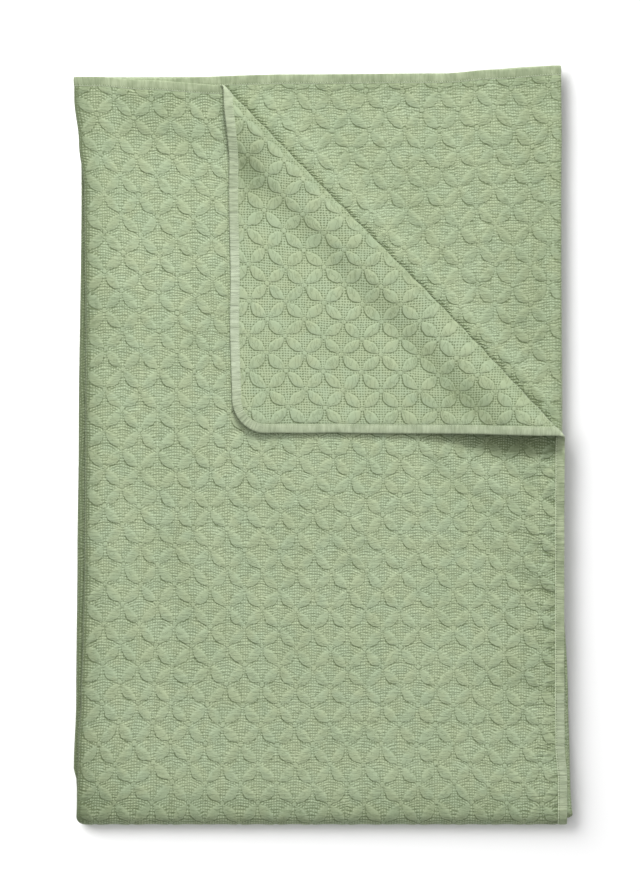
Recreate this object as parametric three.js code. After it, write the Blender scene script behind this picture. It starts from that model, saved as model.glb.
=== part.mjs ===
// A quilted bedspread folded away: in three across its width, then once along its length,
// with one corner of the top layer turned back over a diagonal roll.
// Millimetres, +Z up. The double-folded cloth lies on Z = 0, its hems towards +Y.
// The cloth is described by a place on it: "across" from the hem that ends on top, and
// "along" from the middle of the long fold, positive on the upper half.
import * as THREE from "three";

const { lerp, clamp, smoothstep } = THREE.MathUtils;

// The cloth and its binding
const THICKNESS = 3;
const BINDING_WIDTH = 16;
const GAP = 0.3;
const SEAM = BINDING_WIDTH + GAP;
const CELL_ACROSS = 31.45;
const CELL_ALONG = 33.5;
const COLUMNS = 77;
const ROWS_PER_HALF = 37;
const CORNER_RADIUS = 58;
const CORNER_STEPS = 5;
const FIRST_ROW = lerp(SEAM, CORNER_RADIUS, 2 / CORNER_STEPS);
const FIRST_COLUMN = lerp(SEAM, CORNER_RADIUS, 3 / CORNER_STEPS);
const PETAL_HEIGHT = 1.6;
const WIDTH = 2 * FIRST_COLUMN + COLUMNS * CELL_ACROSS;
const HALF_LENGTH = FIRST_ROW + ROWS_PER_HALF * CELL_ALONG;

// The folds: which columns turn, how far each turn bulges, and the height of one layer
const LAYER = 5.5;
const columnLine = (column) => FIRST_COLUMN + column * CELL_ACROSS;
const LEFT_TURN = { from: columnLine(25), to: columnLine(26), bulge: 13 };
const RIGHT_TURN = { from: columnLine(52), to: columnLine(53), bulge: 13.9 };
const LONG_TURN = { reach: CELL_ALONG, bulge: 1.93, line: -630.4 };
const TURN_STEPS = 4;
const LONG_TURN_STEPS = 8;
const INNER_HEM_INSET = 10;

// Where the sides lie, by the place along the cloth: the top hem and the two turned edges
const SIDES = [
  { along: -1298, hem: 414, left: -421, right: 408 },
  { along: -1080, hem: 414, left: -418.8, right: 409 },
  { along: -666, hem: 416, left: -423.5, right: 410 },
  { along: -464, hem: 417, left: -425.8, right: 412 },
  { along: -218, hem: 417, left: -427, right: 424 },
  { along: -88, hem: 420, left: -426.2, right: 427.5 },
  { along: 0, hem: 423, left: -427, right: 431.5 },
  { along: 85, hem: 423, left: -424.5, right: 426.5 },
  { along: 144, hem: 418.6, left: -423.5, right: 423 },
  { along: 218, hem: 418, left: -419, right: 419 },
  { along: 308, hem: 418, left: -415.7, right: 414 },
  { along: 464, hem: 418, left: -412.4, right: 412 },
  { along: 827, hem: 419, left: -410.7, right: 411.7 },
  { along: 1081, hem: 424, left: -413.1, right: 411.7 },
  { along: 1161, hem: 427, left: -422.3, right: 412.5 },
  { along: 1237, hem: 429, left: -430.5, right: 411.7 },
  { along: 1298, hem: 431, left: -432.2, right: 411 },
];

// Where the two ends lie, by the place across the cloth: the upper half's and the lower half's
const ENDS = [
  { across: 0, upper: 591, lower: 630 },
  { across: 222, upper: 601, lower: 633 },
  { across: 444, upper: 609.7, lower: 634 },
  { across: 593, upper: 624.7, lower: 634 },
  { across: 723, upper: 632.4, lower: 632 },
  { across: 805, upper: 638.6, lower: 633 },
  { across: 862, upper: 638.6, lower: 634 },
  { across: 1400, upper: 640, lower: 637 },
  { across: 1696, upper: 658.5, lower: 640 },
  { across: 1803, upper: 651.6, lower: 641 },
  { across: 1898, upper: 644.7, lower: 642 },
  { across: 2150, upper: 643, lower: 638 },
  { across: 2413, upper: 636, lower: 634 },
  { across: 2511, upper: 632, lower: 632 },
];

// The turned-back corner: its diagonal roll runs between two points of the outline,
// and the loose corner and the end of its edge stand a little off the layer below
const ROLL = { radius: 3.2, start: { x: -173.7, y: 624.7 }, end: { x: 410.3, y: 22.5 }, steps: 4 };
const LIFTS = [
  { x: -155, y: 25, height: 4, reach: 70 },
  { x: 350, y: 22, height: 9, reach: 110 },
];

// Colours of the cloth and of its binding
const SAGE = 0xa5b38f;
const SAGE_TAPE = 0xabb897;

// A column of a table at a place between its rows, with the steps eased.
function between(rows, key, at, column) {
  const next = rows.findIndex((row) => row[key] > at);
  if (next === 0) return rows[0][column];
  if (next < 0) return rows[rows.length - 1][column];
  const a = rows[next - 1];
  const b = rows[next];
  return lerp(a[column], b[column], smoothstep(at, a[key], b[key]));
}

// The four corners of the cloth are cut round: a place near a corner moves onto its arc.
function rounded(across, along) {
  const sideways = across < WIDTH / 2 ? -1 : 1;
  const lengthways = Math.sign(along);
  const p = (CORNER_RADIUS - (sideways < 0 ? across : WIDTH - across)) / CORNER_RADIUS;
  const q = (CORNER_RADIUS - (HALF_LENGTH - Math.abs(along))) / CORNER_RADIUS;
  if (p <= 0 || q <= 0) return { across, along };
  const angle = p >= q ? ((Math.PI / 4) * q) / p : Math.PI / 2 - ((Math.PI / 4) * p) / q;
  const radius = Math.max(p, q) * CORNER_RADIUS;
  const fromSide = CORNER_RADIUS - radius * Math.cos(angle);
  const fromEnd = CORNER_RADIUS - radius * Math.sin(angle);
  return {
    across: sideways < 0 ? fromSide : WIDTH - fromSide,
    along: lengthways * (HALF_LENGTH - fromEnd),
  };
}

// The fold in three: where a place across the cloth lies, and how far from the long fold's core.
function foldedInThree(across, along) {
  const hem = between(SIDES, "along", along, "hem");
  const left = between(SIDES, "along", along, "left") + LEFT_TURN.bulge;
  const right = between(SIDES, "along", along, "right") - RIGHT_TURN.bulge;
  if (across <= LEFT_TURN.from) {
    return { x: lerp(hem, left, across / LEFT_TURN.from), depth: 2.5 * LAYER };
  }
  if (across <= LEFT_TURN.to) {
    const angle = (Math.PI * (across - LEFT_TURN.from)) / (LEFT_TURN.to - LEFT_TURN.from);
    return { x: left - LEFT_TURN.bulge * Math.sin(angle), depth: LAYER * (1.5 + Math.cos(angle)) };
  }
  if (across <= RIGHT_TURN.from) {
    const share = (across - LEFT_TURN.to) / (RIGHT_TURN.from - LEFT_TURN.to);
    return { x: lerp(left, right, share), depth: 0.5 * LAYER };
  }
  if (across <= RIGHT_TURN.to) {
    const angle = (Math.PI * (across - RIGHT_TURN.from)) / (RIGHT_TURN.to - RIGHT_TURN.from);
    return { x: right + RIGHT_TURN.bulge * Math.sin(angle), depth: LAYER * (1 - 0.5 * Math.cos(angle)) };
  }
  const share = (across - RIGHT_TURN.to) / (WIDTH - RIGHT_TURN.to);
  return { x: lerp(right, left + INNER_HEM_INSET, share), depth: 1.5 * LAYER };
}

// The long fold: all three layers turn about one core, and their ends come to rest at ENDS.
function foldedDouble(across, along) {
  const { x, depth } = foldedInThree(across, along);
  const run = Math.abs(along);
  if (run <= LONG_TURN.reach) {
    const angle = (Math.PI / 2) * (along / LONG_TURN.reach);
    const y = LONG_TURN.line - LONG_TURN.bulge * depth * Math.cos(angle);
    return new THREE.Vector3(x, y, depth * Math.sin(angle));
  }
  const end = between(ENDS, "across", across, along > 0 ? "upper" : "lower");
  const share = (run - LONG_TURN.reach) / (HALF_LENGTH - LONG_TURN.reach);
  return new THREE.Vector3(x, lerp(LONG_TURN.line, end, share), Math.sign(along) * depth);
}

// The diagonal that the top corner is turned back over, as an origin and two unit directions
const rollStart = new THREE.Vector2(ROLL.start.x, ROLL.start.y);
const rollEnd = new THREE.Vector2(ROLL.end.x, ROLL.end.y);
const rollAlong = rollEnd.clone().sub(rollStart).normalize();
const rollOut = new THREE.Vector2(-rollAlong.y, rollAlong.x);
rollStart.addScaledVector(rollOut, -(ROLL.radius + THICKNESS / 2));
const ROLL_LENGTH = Math.PI * ROLL.radius;

// How far a point of the top layer, laid flat, lies past the start of the roll.
function pastRoll(point) {
  return new THREE.Vector2(point.x, point.y).sub(rollStart).dot(rollOut);
}

function onTopLayer(across, along) {
  return across <= LEFT_TURN.from && along >= LONG_TURN.reach;
}

// Where the middle of the cloth lies, for any place on it.
function lie(acrossCut, alongCut) {
  const { across, along } = rounded(acrossCut, alongCut);
  const point = foldedDouble(across, along);
  if (!onTopLayer(across, along)) return point;
  const past = pastRoll(point);
  if (past <= 0) return point;
  const turned = clamp(past / ROLL_LENGTH, 0, 1);
  const angle = Math.PI * turned;
  const beyond = Math.max(0, past - ROLL_LENGTH);
  const back = ROLL.radius * Math.sin(angle) - beyond - past;
  point.x += rollOut.x * back;
  point.y += rollOut.y * back;
  point.z += ROLL.radius * (1 - Math.cos(angle));
  for (const { x, y, height, reach } of LIFTS) {
    const away = Math.hypot(point.x - x, point.y - y) / reach;
    point.z += height * turned * Math.exp(-away * away);
  }
  return point;
}

// The direction that the front of the cloth faces at a place on it.
const PROBE = 0.02;
function facing(across, along) {
  const alongStep = lie(across, along + PROBE).sub(lie(across, along - PROBE));
  const acrossStep = lie(across + PROBE, along).sub(lie(across - PROBE, along));
  return alongStep.cross(acrossStep).normalize();
}

// Distances that count as none: between two places, and between two numbers
const SAME = 1e-3;
const CLOSE = 1e-6;

// A flat net of places on the cloth, each with the height that its quilting adds.
class Net {
  constructor() {
    this.places = [];
    this.triangles = [];
    this.known = new Map();
  }

  place(across, along, raised = 0) {
    const key = across.toFixed(3) + " " + along.toFixed(3);
    if (!this.known.has(key)) {
      this.known.set(key, this.places.length);
      this.places.push({ across, along, raised });
    }
    return this.known.get(key);
  }

  // A cell as a fan about its middle, or two triangles where it is flat and plain.
  cell(ring, middle, raised) {
    if (ring.length === 4 && !raised) {
      this.triangles.push([ring[0], ring[1], ring[2]], [ring[0], ring[2], ring[3]]);
      return;
    }
    const centre = this.place(middle.across, middle.along, raised);
    ring.forEach((corner, i) => this.triangles.push([corner, ring[(i + 1) % ring.length], centre]));
  }

  // Cuts every triangle that a line crosses, so that the cloth can bend there.
  crease(side) {
    const signs = this.places.map((place) => {
      const offset = side(place);
      return Math.abs(offset) < SAME ? 0 : Math.sign(offset);
    });
    const sign = (index) => signs[index] ?? 0;
    const cut = (a, b) => {
      const [low, high] = (sign(a) < 0 ? [a, b] : [b, a]).map((index) => this.places[index]);
      const at = (share) => ({
        across: lerp(low.across, high.across, share),
        along: lerp(low.along, high.along, share),
        raised: lerp(low.raised, high.raised, share),
      });
      let [from, to] = [0, 1];
      while (to - from > CLOSE) {
        const middle = (from + to) / 2;
        if (side(at(middle)) < 0) from = middle;
        else to = middle;
      }
      const { across, along, raised } = at(to);
      return this.place(across, along, raised);
    };
    this.triangles = this.triangles.flatMap((triangle) => {
      const turn = [0, 1, 2].find((k) => {
        const [a, b, c] = [0, 1, 2].map((i) => sign(triangle[(k + i) % 3]));
        return (b * c < 0 && a === 0) || (a !== 0 && a * b < 0 && a * c < 0);
      });
      if (turn === undefined) return [triangle];
      const [a, b, c] = [0, 1, 2].map((i) => triangle[(turn + i) % 3]);
      if (sign(a) === 0) {
        const middle = cut(b, c);
        return [[a, b, middle], [a, middle, c]];
      }
      const left = cut(a, b);
      const right = cut(a, c);
      return [[a, left, right], [left, b, c], [left, c, right]];
    });
  }
}

// The diagonal roll crosses the lattice, so every net is cut along it.
function creaseRoll(net) {
  for (let i = 0; i <= ROLL.steps; i++) {
    const line = (ROLL_LENGTH * i) / ROLL.steps;
    net.crease((place) => {
      const { across, along } = rounded(place.across, place.along);
      return onTopLayer(across, along) ? pastRoll(foldedDouble(across, along)) - line : -1;
    });
  }
  return net;
}

// A closed solid from two nets with the same rim: the front of the cloth and its back.
function solid(front, back) {
  const vertices = [];
  const triangles = [];
  const backStart = front.places.length;
  const half = THICKNESS / 2;
  front.places.forEach(({ across, along, raised }) => {
    vertices.push(lie(across, along).addScaledVector(facing(across, along), half + raised));
  });
  back.places.forEach(({ across, along, raised }) => {
    vertices.push(lie(across, along).addScaledVector(facing(across, along), -half - raised));
  });
  front.triangles.forEach(([a, b, c]) => triangles.push(a, b, c));
  back.triangles.forEach(([a, b, c]) => triangles.push(backStart + a, backStart + c, backStart + b));

  const edges = new Set(front.triangles.flatMap(([a, b, c]) => [a + " " + b, b + " " + c, c + " " + a]));
  const twin = (index) => {
    const { across, along } = front.places[index];
    return backStart + back.place(across, along);
  };
  for (const edge of edges) {
    const [a, b] = edge.split(" ").map(Number);
    if (edges.has(b + " " + a)) continue;
    // Neighbouring walls are divided on the same diagonal, so that they stay a gap apart
    const [from, to] = [front.places[a], front.places[b]];
    const sideways = to.across - from.across;
    const level = Math.abs(sideways) <= SAME;
    const forwards = level ? to.along > from.along : sideways > 0;
    if (forwards) triangles.push(b, a, twin(b), a, twin(a), twin(b));
    else triangles.push(b, a, twin(a), b, twin(a), twin(b));
  }
  const geometry = new THREE.BufferGeometry();
  const positions = vertices.flatMap((vertex) => vertex.toArray());
  geometry.setAttribute("position", new THREE.Float32BufferAttribute(positions, 3));
  geometry.setIndex(triangles);
  geometry.computeVertexNormals();
  return geometry;
}

// Evenly spaced stops between two places.
function spaced(from, to, steps) {
  return Array.from({ length: steps + 1 }, (_, i) => lerp(from, to, i / steps));
}

// Places in order, without the ones that coincide.
function inOrder(values) {
  const sorted = [...values].sort((a, b) => a - b);
  return sorted.filter((value, i) => i === 0 || value - sorted[i - 1] > CLOSE);
}

// Lattice lines of the quilting, from seam to seam, with the finer lines of each turn
const leftTurnLines = spaced(LEFT_TURN.from, LEFT_TURN.to, TURN_STEPS);
const rightTurnLines = spaced(RIGHT_TURN.from, RIGHT_TURN.to, TURN_STEPS);
const longTurnLines = spaced(-LONG_TURN.reach, LONG_TURN.reach, LONG_TURN_STEPS);
const columnLines = inOrder([
  SEAM,
  ...spaced(FIRST_COLUMN, WIDTH - FIRST_COLUMN, COLUMNS),
  ...leftTurnLines,
  ...rightTurnLines,
  WIDTH - SEAM,
]);
const rowLines = inOrder([
  SEAM - HALF_LENGTH,
  ...spaced(FIRST_ROW - HALF_LENGTH, HALF_LENGTH - FIRST_ROW, 2 * ROWS_PER_HALF),
  ...longTurnLines,
  HALF_LENGTH - SEAM,
]);
const indicesOf = (lines, wanted) => lines.flatMap((line, i) => (wanted.includes(line) ? [i] : []));
const columnBends = indicesOf(columnLines, [...leftTurnLines, ...rightTurnLines]);
const rowBends = indicesOf(rowLines, longTurnLines);

// Whether the quilting of one side can be seen at a place.
function shows(across, along, side) {
  if (along < LONG_TURN.reach) return false;
  const point = foldedDouble(across, along);
  const past = pastRoll(point);
  if (across > RIGHT_TURN.to) return side === "front" && past > 0;
  if (across > LEFT_TURN.from) return false;
  if (side === "back") return past > 0;
  if (past > 0) return false;
  const mirror = new THREE.Vector2(point.x, point.y).addScaledVector(rollOut, -2 * past);
  const hem = between(SIDES, "along", HALF_LENGTH, "hem");
  const end = between(ENDS, "across", 0, "upper");
  return mirror.x > hem - CELL_ACROSS || mirror.y > end - CELL_ALONG;
}

// The largest block, in cells: small where the turned-back corner rises and falls.
const FINE_BLOCK = { wide: 2, tall: 2 };
const COARSE_BLOCK = { wide: 9, tall: 6 };
function largest(across, along) {
  const lifted = onTopLayer(across, along) && pastRoll(foldedDouble(across, along)) > 0;
  return lifted ? FINE_BLOCK : COARSE_BLOCK;
}

// Blocks of the lattice, divided at every bend and down to single cells where quilting shows.
function blocks(i0, i1, j0, j1, side, out) {
  const wide = i1 - i0;
  const tall = j1 - j0;
  let seen = false;
  let limit = COARSE_BLOCK;
  for (let i = i0; i < i1; i++) {
    for (let j = j0; j < j1; j++) {
      const across = (columnLines[i] + columnLines[i + 1]) / 2;
      const along = (rowLines[j] + rowLines[j + 1]) / 2;
      seen ||= shows(across, along, side);
      if (largest(across, along).wide < limit.wide) limit = largest(across, along);
    }
  }
  const columnBend = columnBends.find((line) => line > i0 && line < i1);
  const rowBend = rowBends.find((line) => line > j0 && line < j1);
  const divide = wide > limit.wide || tall > limit.tall || (seen && wide + tall > 2);
  if (columnBend !== undefined || (rowBend === undefined && divide && wide >= tall)) {
    const middle = columnBend ?? i0 + Math.floor(wide / 2);
    blocks(i0, middle, j0, j1, side, out);
    blocks(middle, i1, j0, j1, side, out);
  } else if (rowBend !== undefined || divide) {
    const middle = rowBend ?? j0 + Math.floor(tall / 2);
    blocks(i0, i1, j0, middle, side, out);
    blocks(i0, i1, middle, j1, side, out);
  } else {
    out.push({ i0, i1, j0, j1, petal: seen });
  }
  return out;
}

const lastColumn = columnLines.length - 1;
const lastRow = rowLines.length - 1;
const cells = {
  front: blocks(0, lastColumn, 0, lastRow, "front", []),
  back: blocks(0, lastColumn, 0, lastRow, "back", []),
};

// The stops along the cloth's edges, for all four of its faces there: those of the cells
// of both sides, and the steps of each rounded corner
const cornerStops = spaced(SEAM, CORNER_RADIUS, CORNER_STEPS);
const rim = {
  across: cornerStops.flatMap((stop) => [stop, WIDTH - stop]),
  along: cornerStops.flatMap((stop) => [stop - HALF_LENGTH, HALF_LENGTH - stop]),
};
for (const { i0, i1, j0, j1 } of [...cells.front, ...cells.back]) {
  if (j0 === 0 || j1 === lastRow) rim.across.push(columnLines[i0], columnLines[i1]);
  if (i0 === 0 || i1 === lastColumn) rim.along.push(rowLines[j0], rowLines[j1]);
}
rim.across = inOrder(rim.across);
rim.along = inOrder(rim.along);

// One side of the quilted cloth, with a raised petal in the middle of each cell that shows.
function quilted(side) {
  const onRow = rowLines.map(() => []);
  const onColumn = columnLines.map(() => []);
  for (const { i0, i1, j0, j1 } of cells[side]) {
    onRow[j0].push(columnLines[i0], columnLines[i1]);
    onRow[j1].push(columnLines[i0], columnLines[i1]);
    onColumn[i0].push(rowLines[j0], rowLines[j1]);
    onColumn[i1].push(rowLines[j0], rowLines[j1]);
  }
  onRow[0] = onRow[lastRow] = rim.across;
  onColumn[0] = onColumn[lastColumn] = rim.along;

  const net = new Net();
  const upwards = (values, from, to) => inOrder(values).filter((value) => value >= from && value < to);
  const downwards = (values, from, to) => {
    return inOrder(values).filter((value) => value > from && value <= to).reverse();
  };
  for (const { i0, i1, j0, j1, petal } of cells[side]) {
    const [a0, a1] = [columnLines[i0], columnLines[i1]];
    const [l0, l1] = [rowLines[j0], rowLines[j1]];
    const ring = [
      ...upwards(onColumn[i0], l0, l1).map((along) => net.place(a0, along)),
      ...upwards(onRow[j1], a0, a1).map((across) => net.place(across, l1)),
      ...downwards(onColumn[i1], l0, l1).map((along) => net.place(a1, along)),
      ...downwards(onRow[j0], a0, a1).map((across) => net.place(across, l0)),
    ];
    const inside = i0 > 0 && i1 < lastColumn && j0 > 0 && j1 < lastRow;
    const middle = { across: (a0 + a1) / 2, along: (l0 + l1) / 2 };
    net.cell(ring, middle, petal && inside ? PETAL_HEIGHT : 0);
  }
  return creaseRoll(net);
}

// The binding's flat net: a ring of four-sided steps round the whole cloth.
function ringNet() {
  const alongStops = rim.along.filter((along) => Math.abs(along) < HALF_LENGTH - CORNER_RADIUS);
  const straight = WIDTH / 2 - CORNER_RADIUS;
  const acrossStops = rim.across.filter((across) => Math.abs(across - WIDTH / 2) < straight);
  const innerShare = (CORNER_RADIUS - BINDING_WIDTH) / CORNER_RADIUS;
  const steps = [];

  // One step of a rounded corner, from 0 beside the hem to 2 * CORNER_STEPS beside the end.
  const cornerStep = (sideways, lengthways, k) => {
    const toSide = Math.min(1, 2 - k / CORNER_STEPS);
    const toEnd = Math.min(1, k / CORNER_STEPS);
    return [innerShare, 1].map((share) => {
      const fromSide = CORNER_RADIUS * (1 - toSide * share);
      const fromEnd = CORNER_RADIUS * (1 - toEnd * share);
      return [sideways < 0 ? fromSide : WIDTH - fromSide, lengthways * (HALF_LENGTH - fromEnd)];
    });
  };
  const upwards = spaced(0, 2 * CORNER_STEPS, 2 * CORNER_STEPS);
  const downwards = [...upwards].reverse();
  const side = (along, inner, outer) => [[inner, along], [outer, along]];
  const end = (across, inner, outer) => [[across, inner], [across, outer]];

  steps.push(...alongStops.map((along) => side(along, BINDING_WIDTH, 0)));
  steps.push(...upwards.map((k) => cornerStep(-1, 1, k)));
  steps.push(...acrossStops.map((across) => end(across, HALF_LENGTH - BINDING_WIDTH, HALF_LENGTH)));
  steps.push(...downwards.map((k) => cornerStep(1, 1, k)));
  alongStops.reverse();
  acrossStops.reverse();
  steps.push(...alongStops.map((along) => side(along, WIDTH - BINDING_WIDTH, WIDTH)));
  steps.push(...upwards.map((k) => cornerStep(1, -1, k)));
  steps.push(...acrossStops.map((across) => end(across, BINDING_WIDTH - HALF_LENGTH, -HALF_LENGTH)));
  steps.push(...downwards.map((k) => cornerStep(-1, -1, k)));

  const net = new Net();
  steps.forEach((step, i) => {
    const next = steps[(i + 1) % steps.length];
    const ring = [step[0], step[1], next[1], next[0]].map(([across, along]) => net.place(across, along));
    net.cell(ring, null, 0);
  });
  return creaseRoll(net);
}

// One piece of the part, named, in its own colour.
function piece(name, geometry, color) {
  const material = new THREE.MeshStandardMaterial({ color, roughness: 0.95, metalness: 0 });
  const mesh = new THREE.Mesh(geometry, material);
  mesh.name = name;
  return mesh;
}

const bedspread = new THREE.Group();
bedspread.add(piece("quilted_panel", solid(quilted("front"), quilted("back")), SAGE));
const ring = ringNet();
bedspread.add(piece("edge_binding", solid(ring, ring), SAGE_TAPE));

// The underside rests on Z = 0, and the box's middle is at X = Y = 0
const box = new THREE.Box3().setFromObject(bedspread);
const centre = box.getCenter(new THREE.Vector3());
bedspread.position.set(-centre.x, -centre.y, -box.min.z);

export default bedspread;
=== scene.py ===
# %% [markdown]
# # A quilted bedspread, folded and put down flat
# The real thing is one big sheet of washed cotton, woven so that petals stand up in rings
# over a finely ribbed ground, with a cotton tape sewn round all four sides. It lies folded
# in three across its width and once along its length, and one corner of the top layer is
# turned back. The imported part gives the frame: its box, its nodes and where they lie.

# %% Load the frame
import math

import bpy
import numpy as np
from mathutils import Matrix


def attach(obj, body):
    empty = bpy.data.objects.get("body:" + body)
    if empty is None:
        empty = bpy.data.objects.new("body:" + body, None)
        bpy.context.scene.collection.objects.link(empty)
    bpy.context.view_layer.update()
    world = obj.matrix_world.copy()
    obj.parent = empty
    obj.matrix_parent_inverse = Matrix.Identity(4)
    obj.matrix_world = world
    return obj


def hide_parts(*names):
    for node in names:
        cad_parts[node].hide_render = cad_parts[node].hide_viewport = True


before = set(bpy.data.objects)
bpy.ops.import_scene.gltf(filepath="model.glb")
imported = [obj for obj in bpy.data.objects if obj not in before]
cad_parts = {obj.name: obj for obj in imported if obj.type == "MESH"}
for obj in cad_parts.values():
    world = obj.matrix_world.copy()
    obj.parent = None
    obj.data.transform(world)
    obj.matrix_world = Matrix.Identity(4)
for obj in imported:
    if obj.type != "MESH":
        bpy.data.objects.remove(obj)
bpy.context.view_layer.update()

# %% [markdown]
# ## The flat cloth
# Cloth is best thought of flat first. Every point on it has two numbers: how far it is
# *across* from the hem that ends on top, and how far *along* from the long fold. All of the
# quilting, seams and stitches are laid out in those numbers, in metres, and only then is the
# cloth folded, as it is at home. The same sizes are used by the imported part.

# %% Sizes of the cloth, the tape and the quilting
THICKNESS = 0.003
TAPE_WIDTH = 0.016
TAPE_INNER_EDGE = 0.0163
CELL_ACROSS = 0.03145
CELL_ALONG = 0.0335
COLUMNS = 77
ROWS_PER_HALF = 37
CORNER_RADIUS = 0.058
# the quilting's first lines lie between the tape and the start of the round corners
FIRST_ROW = TAPE_INNER_EDGE + 0.4 * (CORNER_RADIUS - TAPE_INNER_EDGE)
FIRST_COLUMN = TAPE_INNER_EDGE + 0.6 * (CORNER_RADIUS - TAPE_INNER_EDGE)
WIDTH = 2 * FIRST_COLUMN + COLUMNS * CELL_ACROSS
HALF_LENGTH = FIRST_ROW + ROWS_PER_HALF * CELL_ALONG


def column_line(column):
    return FIRST_COLUMN + column * CELL_ACROSS


print(f"flat cloth {WIDTH:.3f} by {2 * HALF_LENGTH:.3f} m")

# %% [markdown]
# ## Where the folds lie
# A folded sheet is never a neat box: each edge drifts a little on its way. Short tables say
# where the hem and the two turned edges lie for places along the cloth, and where its ends
# lie for places across it. Between two rows the value is eased, so that edges stay smooth.

# %% Tables of the folded outline
LAYER = 0.0055
INNER_HEM_INSET = 0.010
# the two turns of the fold in three: where they start and end, and how far they bulge
LEFT_FROM, LEFT_TO, LEFT_BULGE = column_line(25), column_line(26), 0.013
RIGHT_FROM, RIGHT_TO, RIGHT_BULGE = column_line(52), column_line(53), 0.0139
# the long fold: its reach along the cloth, its bulge, and the line that it turns about
LONG_REACH, LONG_BULGE, LONG_LINE = CELL_ALONG, 1.93, -0.6304

# along the cloth, then where the top hem, the left turn and the right turn lie
SIDES = np.array([
    (-1.298, 0.4140, -0.4210, 0.4080),
    (-1.080, 0.4140, -0.4188, 0.4090),
    (-0.666, 0.4160, -0.4235, 0.4100),
    (-0.464, 0.4170, -0.4258, 0.4120),
    (-0.218, 0.4170, -0.4280, 0.4240),
    (-0.098, 0.4197, -0.4322, 0.4272),
    (-0.078, 0.4202, -0.4268, 0.4280),
    (0.000, 0.4230, -0.4270, 0.4315),
    (0.085, 0.4230, -0.4245, 0.4265),
    (0.144, 0.4186, -0.4235, 0.4230),
    (0.218, 0.4180, -0.4190, 0.4190),
    (0.308, 0.4180, -0.4157, 0.4140),
    (0.464, 0.4180, -0.4124, 0.4120),
    (0.827, 0.4190, -0.4107, 0.4117),
    (1.081, 0.4240, -0.4131, 0.4117),
    (1.161, 0.4270, -0.4223, 0.4125),
    (1.237, 0.4290, -0.4305, 0.4117),
    (1.298, 0.4310, -0.4322, 0.4110),
])

# across the cloth, then where the upper and the lower half end
ENDS = np.array([
    (0.000, 0.5910, 0.630),
    (0.222, 0.6010, 0.633),
    (0.444, 0.6097, 0.634),
    (0.593, 0.6247, 0.634),
    (0.723, 0.6324, 0.632),
    (0.805, 0.6386, 0.633),
    (0.862, 0.6386, 0.634),
    (1.400, 0.6400, 0.637),
    (1.696, 0.6585, 0.640),
    (1.803, 0.6516, 0.641),
    (1.898, 0.6447, 0.642),
    (2.150, 0.6430, 0.638),
    (2.413, 0.6360, 0.634),
    (2.511, 0.6320, 0.632),
])


def risen(distance, start, reach):
    """0 up to a start, and 1 past a reach beyond it."""
    return np.clip((distance - start) / reach, 0, 1)


def smooth(share):
    return share * share * (3 - 2 * share)


def eased(table, column, at):
    """A column of a table at places between its rows, with the steps eased."""
    stops, values = table[:, 0], table[:, column]
    row = np.clip(np.searchsorted(stops, at, side="right") - 1, 0, len(stops) - 2)
    share = risen(at, stops[row], stops[row + 1] - stops[row])
    return values[row] + (values[row + 1] - values[row]) * smooth(share)


print("tables:", len(SIDES), "rows for the sides and", len(ENDS), "for the ends")

# %% [markdown]
# ## Rounded corners
# The corners of the cloth are cut round before the tape is sewn on. A square net of places
# is kept and only moved: near a corner, each square ring of places becomes an arc.

# %% Move places near a corner onto its arc
def rounded(across, along):
    from_side = np.minimum(across, WIDTH - across)
    from_end = HALF_LENGTH - np.abs(along)
    p = np.maximum((CORNER_RADIUS - from_side) / CORNER_RADIUS, 1e-9)
    q = np.maximum((CORNER_RADIUS - from_end) / CORNER_RADIUS, 1e-9)
    inside = (from_side >= CORNER_RADIUS) | (from_end >= CORNER_RADIUS)
    angle = np.where(p >= q, math.pi / 4 * q / p, math.pi / 2 - math.pi / 4 * p / q)
    radius = np.maximum(p, q) * CORNER_RADIUS
    side = np.where(inside, from_side, CORNER_RADIUS - radius * np.cos(angle))
    end = np.where(inside, from_end, CORNER_RADIUS - radius * np.sin(angle))
    new_across = np.where(across < WIDTH / 2, side, WIDTH - side)
    return new_across, np.sign(along) * (HALF_LENGTH - end)


print("a corner now lies at", rounded(np.array([0.0]), np.array([HALF_LENGTH])))

# %% [markdown]
# ## Folding in three, then double
# Folding is a formula: the cloth runs flat, turns through half a circle and runs back on the
# next level. The fold in three gives a sideways place and a level; the long fold then turns
# all three levels at once about the same line, so the outer level bulges furthest.

# %% The two folds as functions
def folded_in_three(across, along):
    hem = eased(SIDES, 1, along)
    left = eased(SIDES, 2, along) + LEFT_BULGE
    right = eased(SIDES, 3, along) - RIGHT_BULGE
    left_angle = math.pi * (across - LEFT_FROM) / (LEFT_TO - LEFT_FROM)
    right_angle = math.pi * (across - RIGHT_FROM) / (RIGHT_TO - RIGHT_FROM)
    last_share = (across - RIGHT_TO) / (WIDTH - RIGHT_TO)
    where = [across <= stop for stop in (LEFT_FROM, LEFT_TO, RIGHT_FROM, RIGHT_TO)]
    x = np.select(where, [
        hem + (left - hem) * (across / LEFT_FROM),
        left - LEFT_BULGE * np.sin(left_angle),
        left + (right - left) * ((across - LEFT_TO) / (RIGHT_FROM - LEFT_TO)),
        right + RIGHT_BULGE * np.sin(right_angle),
    ], right + (left + INNER_HEM_INSET - right) * last_share)
    level = np.select(where, [
        2.5 + 0 * across,
        1.5 + np.cos(left_angle),
        0.5 + 0 * across,
        1 - 0.5 * np.cos(right_angle),
    ], 1.5)
    return x, level * LAYER


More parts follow.
